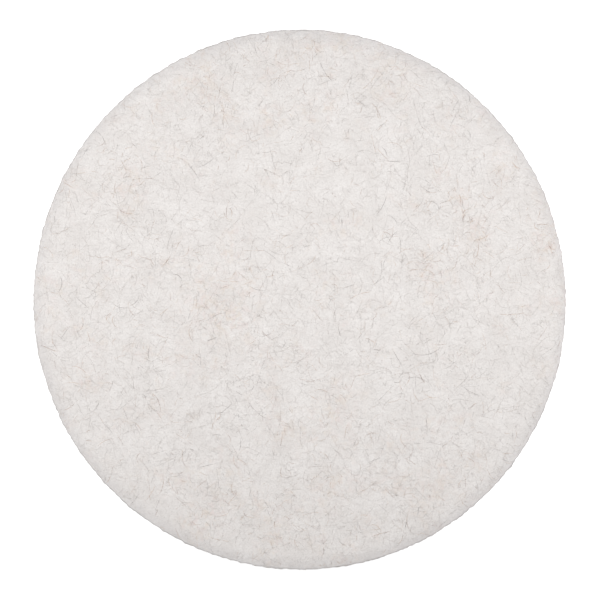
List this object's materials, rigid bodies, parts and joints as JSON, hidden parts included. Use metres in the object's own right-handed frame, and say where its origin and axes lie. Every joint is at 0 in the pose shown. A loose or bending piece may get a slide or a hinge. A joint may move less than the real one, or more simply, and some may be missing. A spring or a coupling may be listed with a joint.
{
  "type": "felt polishing disc",
  "caption": "Flat round disc of undyed pressed wool felt with a self-adhesive back on a split release liner, for polishing stones on a flat lap.",
  "frame": {"origin": "centre of the release liner's lower face, on the disc's spin axis", "axes": "+Z from the liner to the working face, along the spin axis; +Y along the liner's slit; +X across the slit, to the right-hand half of the liner"},
  "size_m": [0.1524, 0.1524, 0.0067],
  "materials": {
    "wool_felt": "matte",
    "adhesive": "gloss",
    "film": "gloss",
    "release_paper": "satin"
  },
  "bodies": {
    "pad": {"felt_pad": "wool_felt", "felt_side_adhesive": "adhesive", "carrier_film": "film", "plate_side_adhesive": "adhesive"},
    "left_liner": {"release_liner_left": "release_paper"},
    "right_liner": {"release_liner_right": "release_paper"}
  },
  "joints": [
    {"name": "left_liner_peel", "type": "hinge", "parent": "pad", "child": "left_liner", "pos_m": [-0.0767, 0, 0.00012], "axis": [0, 1, 0], "range_deg": [0, 180]},
    {"name": "right_liner_peel", "type": "hinge", "parent": "pad", "child": "right_liner", "pos_m": [0.0767, 0, 0.00012], "axis": [0, -1, 0], "range_deg": [0, 180]}
  ]
}
